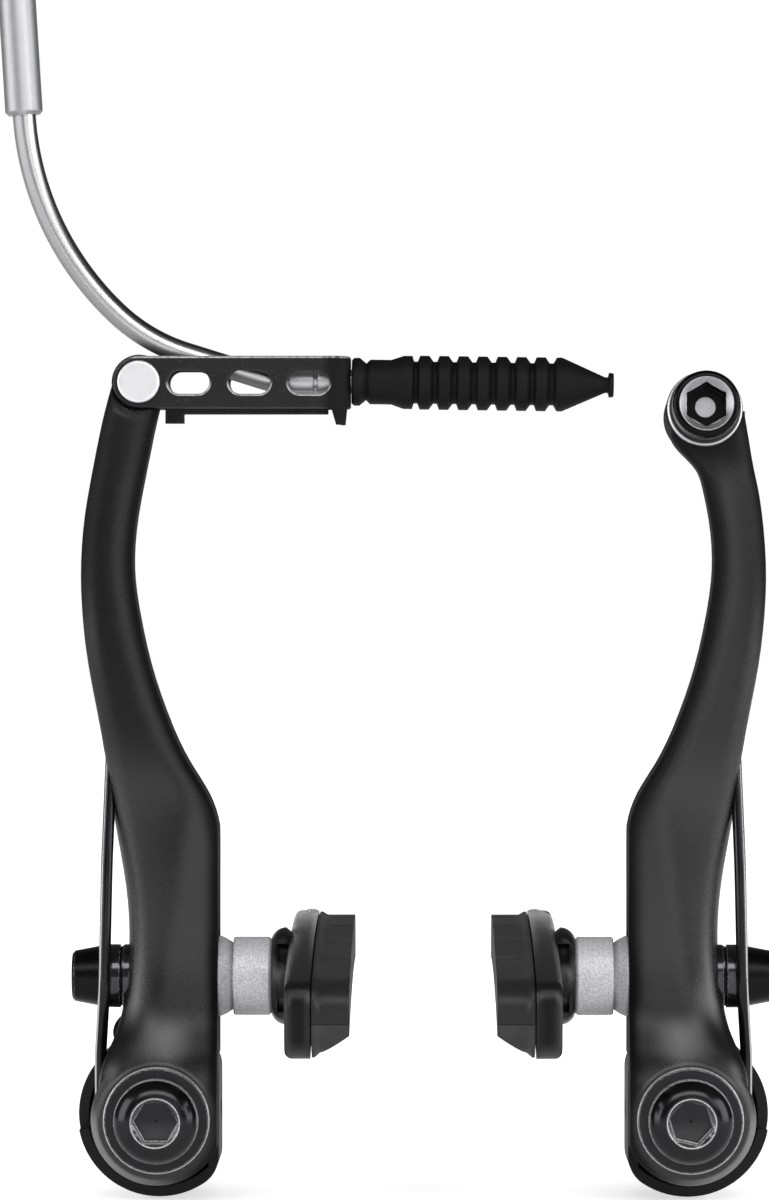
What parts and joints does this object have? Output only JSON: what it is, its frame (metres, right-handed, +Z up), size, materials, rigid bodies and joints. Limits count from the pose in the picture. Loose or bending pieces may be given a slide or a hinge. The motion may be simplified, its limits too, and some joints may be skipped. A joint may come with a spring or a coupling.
{
  "type": "linear-pull rim brake",
  "caption": "Bicycle rim brake with two sprung black arms on stud pivots, long rubber shoes, a swinging link with a bent steel lead pipe and ribbed boot, and a cable clamp bolt.",
  "frame": {"origin": "midway between the two pivot axes, in the plane of the two shoe posts, which the pivot bolts cross", "axes": "+X from the link side to the clamp side, +Y backwards along the studs to the fork, +Z up along the arms"},
  "size_m": [0.118, 0.0704, 0.1819],
  "materials": {
    "arm_black": "satin black anodised",
    "link_black": "satin black on steel sheet",
    "bolt_black": "glossy black oxide",
    "spring_black": "glossy black wire",
    "shoe_black": "satin black",
    "holder_plastic": "matte black",
    "pad_rubber": "matte black rubber",
    "boot_rubber": "matte black rubber",
    "bright_steel": "bright zinc plated",
    "pipe_steel": "polished stainless",
    "ferrule_alloy": "satin aluminium",
    "cast_grey": "matte sintered grey",
    "bush_bronze": "turned bronze",
    "liner_plastic": "natural white plastic"
  },
  "bodies": {
    "mount_hardware": {"left_pivot_bush": "bush_bronze", "left_pivot_washer": "bolt_black", "left_pivot_bolt": "bolt_black", "left_spring_holder": "holder_plastic", "left_stopper_pin": "bright_steel", "left_tension_screw": "bolt_black", "right_pivot_bush": "bush_bronze", "right_pivot_washer": "bolt_black", "right_pivot_bolt": "bolt_black", "right_spring_holder": "holder_plastic", "right_stopper_pin": "bright_steel", "right_tension_screw": "bolt_black"},
    "left_arm_body": {"left_arm": "arm_black", "left_return_spring": "spring_black", "left_shoe_holder": "shoe_black", "left_shoe_post": "bright_steel", "left_brake_pad": "pad_rubber", "left_pad_pin": "bright_steel", "left_concave_spacer": "cast_grey", "left_convex_washer": "cast_grey", "left_outer_convex_washer": "bolt_black", "left_outer_concave_washer": "bolt_black", "left_shoe_nut": "bolt_black"},
    "right_arm_body": {"right_arm": "arm_black", "right_return_spring": "spring_black", "right_shoe_holder": "shoe_black", "right_shoe_post": "bright_steel", "right_brake_pad": "pad_rubber", "right_pad_pin": "bright_steel", "right_concave_spacer": "cast_grey", "right_convex_washer": "cast_grey", "right_outer_convex_washer": "bolt_black", "right_outer_concave_washer": "bolt_black", "right_shoe_nut": "bolt_black", "anchor_bolt": "bolt_black", "anchor_washer": "bright_steel"},
    "link_body": {"lead_link": "link_black", "link_pin": "bright_steel", "lead_pipe": "pipe_steel", "lead_ferrule": "ferrule_alloy", "lead_pipe_tip": "pipe_steel", "lead_liner": "liner_plastic", "rubber_boot": "boot_rubber"}
  },
  "joints": [
    {"name": "left_arm_swing", "type": "hinge", "parent": "mount_hardware", "child": "left_arm_body", "pos_m": [-0.04, 0, 0], "axis": [0, 1, 0], "range_deg": [-25, 2], "stiffness_Nm_per_rad": 2},
    {"name": "right_arm_swing", "type": "hinge", "parent": "mount_hardware", "child": "right_arm_body", "pos_m": [0.04, 0, 0], "axis": [0, -1, 0], "range_deg": [-25, 2], "stiffness_Nm_per_rad": 2},
    {"name": "link_swing", "type": "hinge", "parent": "left_arm_body", "child": "link_body", "pos_m": [-0.04305, 0, 0.111], "axis": [0, -1, 0], "range_deg": [0, 75]}
  ]
}
